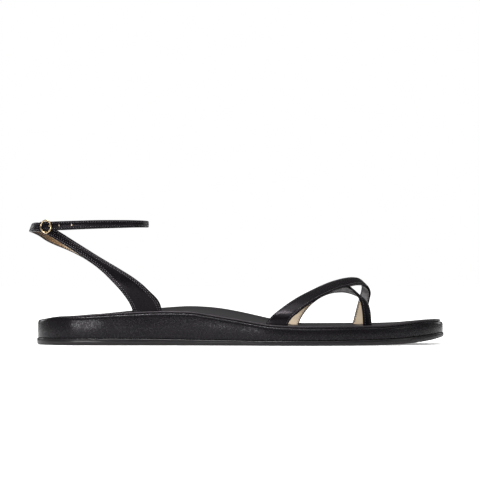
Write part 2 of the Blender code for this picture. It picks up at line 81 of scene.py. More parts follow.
def soft_light(name, place, aim, size, watts):
    """Oval lamp that hangs at a place and shines at its aim."""
    data = bpy.data.lights.new(name, "AREA")
    data.shape = "ELLIPSE"
    data.size, data.size_y = size
    data.energy = watts
    light = bpy.data.objects.new(name, data)
    light.location = place
    toward = Vector(aim) - Vector(place)
    light.rotation_euler = toward.to_track_quat("-Z", "Y").to_euler()
    scene.collection.objects.link(light)


for lamp in LIGHTS:
    soft_light(*lamp)


def add(tree, kind, settings=None, **values):
    """New shader node with its settings and the values of its inputs."""
    made = tree.nodes.new(kind)
    for key, value in (settings or {}).items():
        setattr(made, key, value)
    for key, value in values.items():
        made.inputs[key.replace("_", " ")].default_value = value
    return made


def join(tree, *pairs):
    """Links between outputs and inputs, given as (node, name, node, name)."""
    for start, out, end, into in pairs:
        tree.links.new(start.outputs[out], end.inputs[into])


def two_tones(tree, dark, light):
    """Mix of two colours, by a factor that is linked to its first input."""
    tones = add(tree, "ShaderNodeMix", {"data_type": "RGBA"})
    tones.inputs["A"].default_value = (*dark, 1)
    tones.inputs["B"].default_value = (*light, 1)
    return tones


def surface(name, **values):
    """Material with a Principled shader, and its tree and shader."""
    made = bpy.data.materials.new(name)
    made.use_nodes = True
    shader = made.node_tree.nodes["Principled BSDF"]
    for key, value in values.items():
        shader.inputs[key.replace("_", " ")].default_value = value
    return made, made.node_tree, shader


world = bpy.data.worlds.new("white_room")
scene.world = world
world.use_nodes = True
room = world.node_tree
rays = add(room, "ShaderNodeLightPath")
dim = add(room, "ShaderNodeBackground", Color=(1, 1, 1, 1), Strength=0.2)
white = add(room, "ShaderNodeBackground", Color=(1, 1, 1, 1), Strength=1.0)
pick = add(room, "ShaderNodeMixShader")
join(room, (rays, "Is Camera Ray", pick, 0), (dim, 0, pick, 1),
     (white, 0, pick, 2), (pick, 0, room.nodes["World Output"], 0))

floor_paint, tree, shader = surface("floor_paint", Roughness=0.9,
                                    Specular_IOR_Level=0.1)
place = add(tree, "ShaderNodeTexCoord")
clouds = add(tree, "ShaderNodeTexNoise", Scale=3.0)
tint = two_tones(tree, (0.90, 0.90, 0.90), (0.93, 0.93, 0.925))
away = add(tree, "ShaderNodeVectorMath", {"operation": "LENGTH"})
glow = add(tree, "ShaderNodeMapRange", From_Min=0.15, From_Max=0.9,
           To_Min=0.35)
rays = add(tree, "ShaderNodeLightPath")
seen = add(tree, "ShaderNodeMath", {"operation": "MULTIPLY"})
shader.inputs["Emission Strength"].default_value = 1.0
join(tree, (clouds, "Fac", tint, 0), (tint, "Result", shader, "Base Color"),
     (place, "Object", away, 0), (away, "Value", glow, "Value"),
     (glow, "Result", seen, 0), (rays, "Is Camera Ray", seen, 1),
     (seen, 0, shader, "Emission Color"))
floor_mesh = bpy.data.meshes.new("floor")
floor_mesh.from_pydata(
    [(FLOOR_REACH * x, FLOOR_REACH * y, 0.0)
     for x, y in ((-1, -1), (1, -1), (1, 1), (-1, 1))], [], [(0, 1, 2, 3)])
floor_mesh.materials.append(floor_paint)
floor = bpy.data.objects.new("floor", floor_mesh)
floor.location.z = -FLOOR_DROP
scene.collection.objects.link(floor)

# Outsole
# A sheet of dull black rubber, cut to the outline of the foot and a little
# wider than the sole above it. Its edge is trimmed and lightly rounded, and
# its underside has a fine grain. It is cemented to the midsole.
MIDDLE = (0.442, 0.053)      # middle of the sandal in plan
HEEL_X = -122.3              # rear end of the outsole
GAP = 0.3                    # between the solids of two pieces
PLAN = np.array((
    # run, lateral, medial
    (0.0, 1.0, 1.0), (1.2, -7.5, 9.5), (5.0, -16.0, 18.0),
    (11.0, -23.2, 24.8), (20.0, -28.8, 29.6), (34.0, -31.9, 31.9),
    (52.0, -32.6, 31.6), (76.0, -33.4, 29.6), (100.0, -35.6, 28.6),
    (124.0, -39.3, 31.6), (146.0, -43.3, 38.0), (166.0, -44.6, 42.8),
    (184.0, -43.0, 44.6), (202.0, -38.6, 44.2), (218.0, -31.6, 41.6),
    (232.0, -22.2, 35.8), (243.0, -10.4, 27.0), (249.0, 1.4, 19.0),
    (250.7, 11.0, 11.0),
))
LATERAL, MEDIAL = 1, 2
LEVELS = np.array((
    # run, bottom, seam, lateral_rim, medial_rim, dish
    (0.0, 0.0, 4.0, 14.9, 14.9, 0.0), (5.0, 0.0, 4.0, 15.9, 15.8, 0.2),
    (11.0, 0.0, 4.0, 16.9, 16.7, 1.2), (20.0, 0.0, 4.0, 17.5, 17.0, 2.2),
    (38.0, 0.0, 4.0, 19.0, 18.3, 2.6), (58.0, 0.0, 4.0, 20.1, 20.3, 2.4),
    (78.0, 0.0, 3.8, 20.8, 22.2, 2.0), (94.0, 0.0, 3.5, 20.6, 23.1, 1.8),
    (104.0, 0.0, 3.3, 19.2, 22.7, 1.8), (114.0, 0.0, 3.2, 17.6, 21.6, 1.8),
    (124.0, 0.0, 3.0, 15.9, 19.8, 1.9), (134.0, 0.0, 2.8, 14.1, 17.6, 2.1),
    (143.0, 0.0, 2.8, 12.7, 15.5, 2.3), (153.0, 0.0, 2.8, 12.1, 13.6, 2.4),
    (165.0, 0.0, 2.8, 11.8, 12.3, 2.2), (190.0, 0.0, 3.1, 11.8, 12.4, 1.2),
    (210.0, 0.2, 3.6, 12.1, 12.5, 0.7), (221.0, 0.5, 4.1, 13.0, 12.9, 0.5),
    (232.0, 1.4, 5.0, 14.3, 13.9, 0.3), (241.0, 2.6, 6.1, 15.2, 14.9, 0.1),
    (247.0, 3.8, 6.9, 15.3, 15.2, 0.0), (250.7, 4.5, 7.3, 15.1, 15.1, 0.0),
))
BOTTOM, SEAM, LATERAL_RIM, MEDIAL_RIM, DISH = 1, 2, 3, 4, 5
DISH_SHARE, DISH_POWER = 0.86, 4     # of the width; how steep its sides are
SIDE_STEPS = 170                     # round each side of the outline
SPAN_SAMPLES = 24                    # between two rows of PLAN
SOLE_CELLS = 14                      # across a layer of the sole


def smooth_column(table, column, runs):
    """A table's column at each run, on a curve with no bumps between rows."""
    x, y = table[:, 0], table[:, column]
    rise = np.diff(y) / np.diff(x)
    slope = np.concatenate(([rise[0]], np.zeros(len(x) - 2), [rise[-1]]))
    product = rise[:-1] * rise[1:]
    total = np.where(product > 0, rise[:-1] + rise[1:], 1.0)
    slope[1:-1] = np.where(product > 0, 2 * product / total, 0.0)
    runs = np.clip(runs, x[0], x[-1])
    cell = np.clip(np.searchsorted(x, runs) - 1, 0, len(x) - 2)
    width = x[cell + 1] - x[cell]
    t = (runs - x[cell]) / width
    return ((2 * t ** 3 - 3 * t ** 2 + 1) * y[cell]
            + (t ** 3 - 2 * t ** 2 + t) * slope[cell] * width
            + (3 * t ** 2 - 2 * t ** 3) * y[cell + 1]
            + (t ** 3 - t ** 2) * slope[cell + 1] * width)


def level(column):
    """Height, by x and y, that follows one column of LEVELS."""
    return lambda x, y: smooth_column(LEVELS, column, x - HEEL_X)


def footbed(x, y):
    """Height of the top of the insole."""
    run = x - HEEL_X
    lateral = smooth_column(PLAN, LATERAL, run)
    medial = smooth_column(PLAN, MEDIAL, run)
    across = (y - lateral) / np.maximum(medial - lateral, 1.0)
    across = np.clip(across, 0.0, 1.0)
    blend = across * across * (3.0 - 2.0 * across)
    low = smooth_column(LEVELS, LATERAL_RIM, run)
    high = smooth_column(LEVELS, MEDIAL_RIM, run)
    inner = np.minimum(np.abs(2.0 * across - 1.0) / DISH_SHARE, 1.0)
    dish = smooth_column(LEVELS, DISH, run)
    return low + (high - low) * blend - dish * (1.0 - inner ** DISH_POWER)


def curve_through(points, per_span, closed=False):
    """Centripetal curve through rows of numbers, sampled in each span.
    Rows may hold both edges of a strap; the first three set the spacing."""
    points = np.asarray(points, float)
    count = len(points)
    if closed:
        framed = np.concatenate((points[-1:], points, points[:2]))
    else:
        framed = np.concatenate((2 * points[:1] - points[1:2], points,
                                 2 * points[-1:] - points[-2:-1]))
    samples = []
    for span in range(count if closed else count - 1):
        p = framed[span:span + 4]
        steps = np.linalg.norm(np.diff(p, axis=0), axis=1) ** 0.5
        t1, t2, t3 = np.cumsum(steps)
        for t in np.linspace(t1, t2, per_span, endpoint=False):
            a1 = p[0] + (p[1] - p[0]) * t / t1
            a2 = p[1] + (p[2] - p[1]) * (t - t1) / (t2 - t1)
            a3 = p[2] + (p[3] - p[2]) * (t - t2) / (t3 - t2)
            b1 = a1 + (a2 - a1) * t / t2
            b2 = a2 + (a3 - a2) * (t - t1) / (t3 - t1)
            samples.append(b1 + (b2 - b1) * (t - t1) / (t2 - t1))
    if not closed:
        samples.append(points[-1])
    return np.array(samples)


def even_steps(samples, along, steps):
    """Rows at even steps of the length that the points in along measure."""
    run = np.concatenate(([0.0], np.cumsum(
        np.linalg.norm(np.diff(along, axis=0), axis=1))))
    target = np.linspace(0.0, run[-1], steps + 1)
    return np.stack([np.interp(target, run, column)
                     for column in samples.T], axis=1)


def sole_outline():
    """Points and inward directions round the outsole, heel to toe along the
    lateral side and back along the medial side."""
    lateral = np.stack((HEEL_X + PLAN[:, 0], PLAN[:, LATERAL]), axis=1)
    medial = np.stack((HEEL_X + PLAN[:, 0], PLAN[:, MEDIAL]), axis=1)[1:-1]
    ring = curve_through(np.concatenate((lateral, medial[::-1])),
                         SPAN_SAMPLES, True)
    half = SPAN_SAMPLES * (len(PLAN) - 1)
    sides = (ring[:half + 1], np.concatenate((ring[half:], ring[:1])))
    points = np.concatenate([even_steps(side, side, SIDE_STEPS)[:-1]
                             for side in sides])
    along = np.roll(points, -1, axis=0) - np.roll(points, 1, axis=0)
    inward = np.stack((-along[:, 1], along[:, 0]), axis=1)
    return points, inward / np.linalg.norm(inward, axis=1)[:, None]


OUTLINE, INWARD = sole_outline()


def mesh_piece(name, points, faces, materials, slots=None, uv=None):
    """Smooth mesh object from points in millimetres. slots gives the
    material of each face, and uv one pair of numbers for each point."""
    mesh = bpy.data.meshes.new(name)
    placed = (np.asarray(points) - (*MIDDLE, 0.0)) * MM
    mesh.from_pydata(placed.tolist(), [], faces)
    for made_of in materials:
        mesh.materials.append(made_of)
    if slots is not None:
        mesh.polygons.foreach_set("material_index", slots)
    if uv is not None:
        layer = mesh.uv_layers.new(name="along")
        corners = np.zeros(len(mesh.loops), int)
        mesh.loops.foreach_get("vertex_index", corners)
        layer.data.foreach_set("uv", np.asarray(uv)[corners].ravel())
    mesh.polygons.foreach_set("use_smooth", [True] * len(mesh.polygons))
    shape = bmesh.new()
    shape.from_mesh(mesh)
    bmesh.ops.recalc_face_normals(shape, faces=shape.faces)
    shape.to_mesh(mesh)
    shape.free()
    made = bpy.data.objects.new(name, mesh)
    scene.collection.objects.link(made)
    return made


def sole_layer(name, rings, cells, bottom, top, materials):
    """Closed layer of the sole from rings of (inset, height function), from
    the underside out and up to the top, with a grid over each."""
    count = len(OUTLINE)
    points, faces = [], []
    for inset, height in rings:
        place = OUTLINE + INWARD * inset
        rise = height(place[:, 0], place[:, 1])
        points.append(np.column_stack((place, rise)))
    for ring in range(len(rings) - 1):
        for i in range(count):
            a, b = ring * count + i, ring * count + (i + 1) % count
            faces.append((a, b, b + count, a + count))
    used = len(rings) * count
    for first, height in ((0, bottom), ((len(rings) - 1) * count, top)):
        ring = points[first // count]
        j = np.arange(1, SIDE_STEPS)
        part = np.arange(1, cells) / cells
        start, end = ring[j][:, None, :2], ring[count - j][:, None, :2]
        inner = start + (end - start) * part[None, :, None]
        inner = inner.reshape(-1, 2)
        points.append(np.column_stack(
            (inner, height(inner[:, 0], inner[:, 1]))))
        rows = [[first] * (cells + 1)]
        for k in range(len(j)):
            middle = range(used + k * (cells - 1),
                           used + (k + 1) * (cells - 1))
            rows.append([first + k + 1, *middle, first + count - k - 1])
        rows.append([first + SIDE_STEPS] * (cells + 1))
        used += len(inner)
        for near, far in zip(rows, rows[1:]):
            for k in range(cells):
                corners = (near[k], near[k + 1], far[k + 1], far[k])
                faces.append(tuple(dict.fromkeys(corners)))
    return mesh_piece(name, np.concatenate(points), faces, materials)


def plus(height, offset):
    """Height function raised by an offset."""
    return lambda x, y: height(x, y) + offset


outsole_rubber, tree, shader = surface(
    "outsole_rubber", Roughness=0.5, Specular_IOR_Level=0.11,
    Specular_Tint=(1.0, 0.92, 1.0, 1.0), Coat_Weight=0.36, Coat_Roughness=0.14)
place = add(tree, "ShaderNodeTexCoord")
grit = add(tree, "ShaderNodeTexNoise", Scale=900.0, Detail=4.0)
scuff = add(tree, "ShaderNodeTexNoise", Scale=38.0, Detail=5.0)
tone = two_tones(tree, (0.0075, 0.0070, 0.0076), (0.0140, 0.0130, 0.0138))
sheen = add(tree, "ShaderNodeMapRange", To_Min=0.42, To_Max=0.68)
grain = add(tree, "ShaderNodeBump", Strength=0.35, Distance=0.00006)
join(tree, (place, "Object", grit, "Vector"), (place, "Object", scuff, 0),
     (scuff, "Fac", tone, 0), (tone, "Result", shader, "Base Color"),
     (grit, "Fac", sheen, "Value"), (sheen, "Result", shader, "Roughness"),
     (grit, "Fac", grain, "Height"), (grain, "Normal", shader, "Normal"))

underside, seam = level(BOTTOM), level(SEAM)
outsole = sole_layer("outsole_sheet", (
    # inset, height
    (0.9, underside), (0.45, plus(underside, 0.1)),
    (0.15, plus(underside, 0.38)), (0.0, plus(underside, 0.85)),
    (-0.05, lambda x, y: (underside(x, y) + seam(x, y)) / 2),
    (0.0, plus(seam, -0.6)), (0.12, plus(seam, -0.22)),
    (0.4, plus(seam, -0.03)), (0.7, seam),
), SOLE_CELLS, underside, seam, [outsole_rubber])
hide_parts("outsole")
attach(outsole, "root")

# Midsole
# A light core, shaped to the foot's arch, with grained black leather drawn
# over its side wall and turned in over the top edge, where the insole
# covers it. It is cemented between outsole and insole.
INSOLE_THICK = 1.5
CUP_END, CUP_LENGTH, CUP_RISE = 34.0, 24.0, 1.35     # run from the heel
WARP_REACH = 0.0011          # how far the pebbles are pushed about, metres
PORES_PER_PEBBLE = 3.1


def leather_grain_group():
    """Fine pebbled grain of calf leather: a height, a mask of the hollows
    between the pebbles, and slow changes of tone."""
    group = bpy.data.node_groups.new("leather_grain", "ShaderNodeTree")
    for name, kind, start in (("Pebbles per Metre", "INPUT", 1500.0),
                              ("Pore Share", "INPUT", 0.35),
                              ("Height", "OUTPUT", 0.0),
                              ("Hollows", "OUTPUT", 0.0),
                              ("Tone", "OUTPUT", 0.0)):
        socket = group.interface.new_socket(name, in_out=kind,
                                            socket_type="NodeSocketFloat")
        if kind == "INPUT":
            socket.default_value = start
    given = group.nodes.new("NodeGroupInput")
    result = group.nodes.new("NodeGroupOutput")
    place = add(group, "ShaderNodeTexCoord")
    warp = add(group, "ShaderNodeTexNoise", Scale=260.0, Detail=2.0)
    shift = add(group, "ShaderNodeVectorMath", {"operation": "MULTIPLY_ADD"})
    shift.inputs[1].default_value = (WARP_REACH, WARP_REACH, WARP_REACH)
    pebbles = add(group, "ShaderNodeTexVoronoi", {"feature": "SMOOTH_F1"},
                  Smoothness=0.35, Randomness=0.95)
    pores = add(group, "ShaderNodeTexNoise", Detail=3.0)
    denser = add(group, "ShaderNodeMath", {"operation": "MULTIPLY"})
    denser.inputs[1].default_value = PORES_PER_PEBBLE
    rise = add(group, "ShaderNodeMath", {"operation": "SUBTRACT"})
    rise.inputs[0].default_value = 1.0
    mixed = add(group, "ShaderNodeMix")
    slow = add(group, "ShaderNodeTexNoise", Scale=60.0, Detail=5.0)
    join(group, (place, "Object", warp, "Vector"),
         (warp, "Color", shift, 0), (place, "Object", shift, 2),
         (shift, 0, pebbles, "Vector"), (shift, 0, pores, "Vector"),
         (place, "Object", slow, "Vector"),
         (given, "Pebbles per Metre", pebbles, "Scale"),
         (given, "Pebbles per Metre", denser, 0),
         (denser, 0, pores, "Scale"), (pebbles, "Distance", rise, 1),
         (given, "Pore Share", mixed, 0), (rise, 0, mixed, "A"),
         (pores, "Fac", mixed, "B"), (mixed, "Result", result, "Height"),
         (pebbles, "Distance", result, "Hollows"),
         (slow, "Fac", result, "Tone"))
    return group


leather_grain = leather_grain_group()


def grained_leather(name, dark, light, pebbles, depth, gloss, painted_shade_stops=None,
                    finish=None, **values):
    """Leather whose colour, gloss and relief follow the shared grain; depth
    is in millimetres. The colours given for places along X, in metres,
    darken it with painted shade, and finish is the share of clear finish
    on the pebbles and between them."""
    made, tree, shader = surface(name, **values)
    grain = add(tree, "ShaderNodeGroup", {"node_tree": leather_grain},
                Pebbles_per_Metre=pebbles)
    tone = two_tones(tree, dark, light)
    polish = add(tree, "ShaderNodeMapRange", To_Min=gloss[0], To_Max=gloss[1])
    relief = add(tree, "ShaderNodeBump", Strength=0.5, Distance=depth * MM)
    colour = tone
    # painted shade: the colour is darkened along X by a ramp of given colours
    if painted_shade_stops:
        place = add(tree, "ShaderNodeTexCoord")
        axes = add(tree, "ShaderNodeSeparateXYZ")
        first, last = painted_shade_stops[0][0], painted_shade_stops[-1][0]
        share = add(tree, "ShaderNodeMapRange", From_Min=first, From_Max=last)
        bands = add(tree, "ShaderNodeValToRGB")
        steps = bands.color_ramp.elements
        steps[0].color = (*painted_shade_stops[0][1], 1)
        steps[1].color = (*painted_shade_stops[-1][1], 1)
        for x, shade in painted_shade_stops[1:-1]:
            steps.new((x - first) / (last - first)).color = (*shade, 1)
        colour = add(tree, "ShaderNodeMix", {"data_type": "RGBA",
                                             "blend_type": "MULTIPLY"})
        colour.inputs[0].default_value = 1.0
        join(tree, (place, "Object", axes, 0), (axes, "X", share, "Value"),
             (share, "Result", bands, 0), (bands, "Color", colour, "B"),
             (tone, "Result", colour, "A"))
    if finish:
        worn = add(tree, "ShaderNodeMapRange", From_Min=0.25, From_Max=0.55,
                   To_Min=finish[0], To_Max=finish[1])
        join(tree, (grain, "Hollows", worn, "Value"),
             (worn, "Result", shader, "Coat Weight"))
    join(tree, (grain, "Tone", tone, 0),
         (colour, "Result", shader, "Base Color"),
         (grain, "Hollows", polish, "Value"),
         (polish, "Result", shader, "Roughness"),
         (grain, "Height", relief, "Height"),
         (relief, "Normal", shader, "Normal"))
    return made


wall_leather = grained_leather(
    "wall_leather", (0.0038, 0.0034, 0.0040), (0.0070, 0.0062, 0.0072),
    1000.0, 0.10, (0.20, 0.34), finish=(0.24, 0.04), Specular_IOR_Level=0.12,
    Specular_Tint=(0.97, 0.90, 1.0, 1.0), Coat_Roughness=0.13)


def deck(x, y):
    """Height of the core's top, under the insole."""
    return footbed(x, y) - INSOLE_THICK


def wall_middle(x, y):
    """Height half way up the side wall."""
    return (seam(x, y) + deck(x, y)) / 2


def rim(drop):
    """Height of the wall's rolled edge, which cups the heel and falls to
    the deck ahead of it."""
    def height(x, y):
        cup = np.clip((CUP_END - (x - HEEL_X)) / CUP_LENGTH, 0.0, 1.0)
        return deck(x, y) + CUP_RISE * cup * cup * (3.0 - 2.0 * cup) - drop
    return height


midsole = sole_layer("midsole_wrap", (
    # inset, height
    (1.0, plus(seam, GAP * 0.4)), (0.65, plus(seam, GAP * 0.6)),
    (0.52, plus(seam, 0.75)), (0.48, wall_middle),
    (0.52, rim(1.9)), (0.58, rim(1.35)), (0.70, rim(0.85)),
    (0.88, rim(0.45)), (1.12, rim(0.16)), (1.38, rim(0.02)),
    (1.62, rim(0.02)), (1.86, rim(0.22)), (2.0, rim(0.7)),
    (2.4, plus(deck, -0.35)),
), SOLE_CELLS, plus(seam, GAP * 0.4), plus(deck, -0.35), [wall_leather])
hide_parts("midsole")
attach(midsole, "root")

# Insole
# A cover of soft black leather on thin board, the surface that the foot
# stands on. It is dished, higher under the arch, and its edge is turned
# down and sits in a narrow groove inside the wall's edge.
COVER_CELLS = 30

cover_leather = grained_leather(
    "cover_leather", (0.0040, 0.0037, 0.0042), (0.0080, 0.0074, 0.0082),
    1300.0, 0.08, (0.34, 0.52), Specular_IOR_Level=0.32,
    Specular_Tint=(1.0, 0.89, 0.99, 1.0))
insole = sole_layer("insole_cover", (
    # inset, height
    (2.6, plus(footbed, -1.35)), (2.2, plus(footbed, -1.3)),
    (2.02, plus(footbed, -1.05)), (2.0, plus(footbed, -0.75)),
    (2.12, plus(footbed, -0.45)), (2.4, plus(footbed, -0.2)),
    (2.9, plus(footbed, -0.05)), (3.6, footbed), (4.6, footbed),
), COVER_CELLS, plus(footbed, -1.35), footbed, [cover_leather])
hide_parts("insole")
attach(insole, "root")

# Toe straps
# Two narrow straps of grained black calf, turned in over natural lining and
# sewn along both edges. The one that ends at the big toe crosses over the
# one that ends between the toes, and all ends are tucked into the insole.
OVER_STRAP = (
    # rear_x, rear_y, rear_z, front_x, front_y, front_z
    (17.2, -38.2, 11.9, 30.9, -40.2, 11.6),
    (19.2, -38.8, 15.2, 32.3, -40.9, 15.0),
    (22.1, -38.3, 18.6, 34.4, -40.6, 18.0),
    (25.9, -36.7, 21.7, 37.0, -39.3, 20.2),
    (30.6, -33.3, 25.1, 39.8, -36.6, 22.6),
    (36.8, -27.0, 29.0, 44.2, -31.2, 25.5),
    (44.3, -17.8, 32.8, 50.8, -22.4, 29.2),
    (51.9, -7.6, 36.2, 57.8, -12.1, 32.4),
    (59.5, 2.6, 39.0, 64.6, -1.8, 34.9),
    (67.0, 11.0, 40.8, 71.0, 7.2, 36.2),
    (72.7, 18.0, 41.3, 75.9, 14.2, 36.9),
    (76.8, 23.2, 40.5, 79.9, 19.8, 36.5),
    (79.0, 27.2, 38.4, 83.0, 24.2, 34.7),
    (79.2, 30.0, 35.2, 84.4, 27.4, 31.2),
    (78.4, 31.8, 31.2, 83.8, 29.6, 27.4),
    (76.6, 32.6, 25.4, 82.7, 31.0, 22.4),
    (74.7, 32.7, 18.6, 81.5, 31.6, 17.0),
    (73.0, 32.2, 11.6, 80.4, 31.2, 11.4),
)
UNDER_STRAP = (
    # front_x, front_y, front_z, rear_x, rear_y, rear_z
    (38.9, 29.6, 10.2, 30.0, 29.2, 10.2),
    (40.3, 30.8, 14.6, 32.8, 30.6, 15.2),
    (43.0, 31.2, 19.0, 36.8, 31.2, 20.4),
    (47.0, 29.8, 24.2, 41.8, 29.4, 25.8),
    (52.6, 26.4, 28.9, 47.6, 24.2, 31.2),
    (58.4, 22.8, 31.6, 53.6, 18.6, 35.0),
    (63.2, 20.0, 32.4, 58.8, 14.8, 37.2),
    (67.2, 17.4, 32.4, 63.4, 12.0, 38.2),
    (70.5, 15.4, 31.9, 67.4, 9.8, 37.4),
    (73.5, 13.4, 31.0, 70.6, 8.0, 35.5),
    (76.6, 11.2, 29.6, 73.2, 6.2, 33.3),
    (79.4, 8.9, 27.8, 75.3, 4.6, 30.9),
    (81.5, 6.9, 25.4, 76.9, 3.4, 27.9),
    (82.8, 5.5, 22.0, 77.8, 2.6, 23.8),
    (83.5, 4.7, 17.4, 78.4, 2.1, 18.2),
    (83.8, 4.2, 11.4, 78.7, 2.0, 11.4),
)
STRAP_THICK = 1.5
ROOT_DEPTH = 1.2             # of a strap's end below the top of the insole
STRAP_SAMPLES, TOE_STEPS = 16, 150   # between two rows; along a strap
SEAM_INSET = 1.05            # stitches in from a strap's edge
STITCH_PITCH, STITCH_LENGTH, THREAD = 1.5, 1.05, 0.42
BARE_END = 2.5               # of a seam, next to the insole
LINING_FIRST, LINING_LAST = 27, 32   # faces of a section that are lining
FACE_SINK, LINING_SINK = 0.04, 0.03  # of a stitch's middle, in the leather
PAINTED_SHEEN_X = 52.0               # ahead of this the lining is light grey, a painted sheen, where it is higher than these
OVER_PAINTED_SHEEN_Z, UNDER_PAINTED_SHEEN_Z = 26.5, 28.5     # it is higher than these

strap_leather = grained_leather(
    "strap_leather", (0.0030, 0.0026, 0.0032), (0.0058, 0.0050, 0.0060),
    1700.0, 0.07, (0.20, 0.36), Specular_IOR_Level=0.11,
    Specular_Tint=(1.0, 0.88, 0.99, 1.0))
lining_leather = grained_leather(
    "lining_leather", (0.72, 0.50, 0.39), (0.76, 0.70, 0.47),
    2100.0, 0.035, (0.55, 0.75), Specular_IOR_Level=0.3)
# light grey lining at the top of the crossing: a painted sheen standing in for
# light on black leather
crossing_painted_sheen = grained_leather(
    "crossing_painted_sheen", (0.28, 0.265, 0.275), (0.55, 0.53, 0.54),
    2600.0, 0.05, (0.60, 0.85), Specular_IOR_Level=0.3)
thread_black = grained_leather(
    "thread_black", (0.024, 0.022, 0.025), (0.070, 0.065, 0.072),
    5200.0, 0.03, (0.26, 0.44), Specular_IOR_Level=0.5)


def rooted(rows):
    """Rows with one more at each end, down inside the insole."""
    def root(row):
        sunk = np.array(row)
        for k in (0, 3):
            top = footbed(sunk[k:k + 1], sunk[k + 1:k + 2])[0]
            sunk[k + 2] = top - ROOT_DEPTH
        return sunk
    return np.array([root(rows[0]), *rows, root(rows[-1])])


def strap_frames(rows, steps):
    """Middle, across and outward vectors and half width along a strap."""
    samples = curve_through(rows, STRAP_SAMPLES)
    middle = (samples[:, :3] + samples[:, 3:6]) / 2
    even = even_steps(samples, middle, steps)
    middle = (even[:, :3] + even[:, 3:6]) / 2
    across = even[:, :3] - even[:, 3:6]
    width = np.linalg.norm(across, axis=1)
    across /= width[:, None]
    outward = np.cross(np.gradient(middle, axis=0), across)
    outward /= np.linalg.norm(outward, axis=1)[:, None]
    return middle, across, outward, width / 2


def strap_section(half, thick):
    """Points across a strap from its left edge over the outer face and back
    along the lining, with a soft trough along each row of stitches."""
    # in from the edge, above the face
    top = ((0.0, -0.62), (0.03, -0.40), (0.12, -0.20), (0.28, -0.06),
           (0.50, 0.0), (0.78, -0.01), (SEAM_INSET - 0.12, -0.07),
           (SEAM_INSET, -0.10), (SEAM_INSET + 0.12, -0.07),
           (SEAM_INSET + 0.45, 0.03))
    # share of the width inside the stitches, above the face
    crown = ((0.5, 0.11), (0.0, 0.13), (-0.5, 0.11))
    # in from the edge, above the lining
    inner = ((0.0, 0.42), (0.07, 0.16), (0.22, 0.03), (0.58, 0.0),
             (0.62, 0.03), (SEAM_INSET, 0.06), (SEAM_INSET + 0.5, 0.0))
    edge = half - SEAM_INSET - 0.45
    points = [(half - d, w) for d, w in top]
    points += [(share * edge, w) for share, w in crown]
    points += [(d - half, w) for d, w in reversed(top)]
    points += [(d - half, w - thick) for d, w in inner]
    points += [(0.0, -thick)]
    points += [(half - d, w - thick) for d, w in reversed(inner)]
    return points


def strap_piece(name, frames, thick, materials, painted_sheen_z=0.0):
    """Strap swept along its frames, of leather, lining and, where it has a
    third material, lining painted light grey as a sheen. Its UV map runs
    across and along it."""
    points, uv = [], []
    run = 0.0
    for i, (middle, across, outward, half) in enumerate(zip(*frames)):
        if i:
            run += np.linalg.norm(middle - frames[0][i - 1])
        for u, w in strap_section(half, thick):
            points.append(middle + across * u + outward * w)
            uv.append((u, run))
    count = len(frames[0])
    size = len(points) // count
    faces, slots = [], []
    for i in range(count - 1):
        for k in range(size):
            a, b = i * size + k, i * size + (k + 1) % size
            faces.append((a, b, b + size, a + size))
            lined = LINING_FIRST <= k <= LINING_LAST
            x, _, z = frames[0][i]
            crossing = x > PAINTED_SHEEN_X and z > painted_sheen_z
            slots.append(1 + int(crossing) if lined else 0)
    faces.append(tuple(range(size)))
    faces.append(tuple((count - 1) * size + k for k in range(size)))
    slots += [0, 0]
    return mesh_piece(name, points, faces, materials, slots, uv)


def stitch_tree():
    """Stitches along curves: threads of a given pitch, length and width."""
    tree = bpy.data.node_groups.new("stitch_row", "GeometryNodeTree")
    tree.interface.new_socket("Geometry", in_out="INPUT",
                              socket_type="NodeSocketGeometry")
    for name, start in (("Pitch", STITCH_PITCH), ("Length", STITCH_LENGTH),
                        ("Thread", THREAD)):
        socket = tree.interface.new_socket(name, in_out="INPUT",
                                           socket_type="NodeSocketFloat")
        socket.default_value = start * MM
    tree.interface.new_socket("Material", in_out="INPUT",
                              socket_type="NodeSocketMaterial")
    tree.interface.new_socket("Geometry", in_out="OUTPUT",
                              socket_type="NodeSocketGeometry")
    given = tree.nodes.new("NodeGroupInput")
    result = tree.nodes.new("NodeGroupOutput")
    spots = add(tree, "GeometryNodeCurveToPoints", {"mode": "LENGTH"})
    bead = add(tree, "GeometryNodeMeshUVSphere", Segments=6, Rings=5,
               Radius=0.5)
    size = add(tree, "ShaderNodeCombineXYZ")
    place = add(tree, "GeometryNodeInstanceOnPoints")
    real = add(tree, "GeometryNodeRealizeInstances")
    smooth = add(tree, "GeometryNodeSetShadeSmooth")
    paint = add(tree, "GeometryNodeSetMaterial")
    join(tree, (given, "Geometry", spots, "Curve"),
         (given, "Pitch", spots, "Length"), (spots, "Points", place, "Points"),
         (spots, "Rotation", place, "Rotation"),
         (bead, "Mesh", place, "Instance"), (given, "Thread", size, "X"),
         (given, "Thread", size, "Y"), (given, "Length", size, "Z"),
         (size, 0, place, "Scale"), (place, 0, real, 0), (real, 0, smooth, 0),
         (smooth, 0, paint, "Geometry"),
         (given, "Material", paint, "Material"),
         (paint, 0, result, "Geometry"))
    return tree


stitch_row = stitch_tree()


def stitch_piece(name, rows, thread=thread_black):
    """One mesh of the stitches along rows of points in millimetres."""
    data = bpy.data.curves.new(name, "CURVE")
    data.dimensions = "3D"
    for row in rows:
        spline = data.splines.new("POLY")
        spline.points.add(len(row) - 1)
        placed = (np.asarray(row) - (*MIDDLE, 0.0)) * MM
        flat = np.column_stack((placed, np.ones(len(row))))
        spline.points.foreach_set("co", flat.ravel())
    path = bpy.data.objects.new(name + "_path", data)
    scene.collection.objects.link(path)
    modifier = path.modifiers.new("stitches", "NODES")
    modifier.node_group = stitch_row
    for item in stitch_row.interface.items_tree:
        if item.in_out == "INPUT" and item.name == "Material":
            modifier[item.identifier] = thread
    graph = bpy.context.evaluated_depsgraph_get()
    mesh = bpy.data.meshes.new_from_object(path.evaluated_get(graph))
    bpy.data.objects.remove(path)
    made = bpy.data.objects.new(name, mesh)
    scene.collection.objects.link(made)
    return made


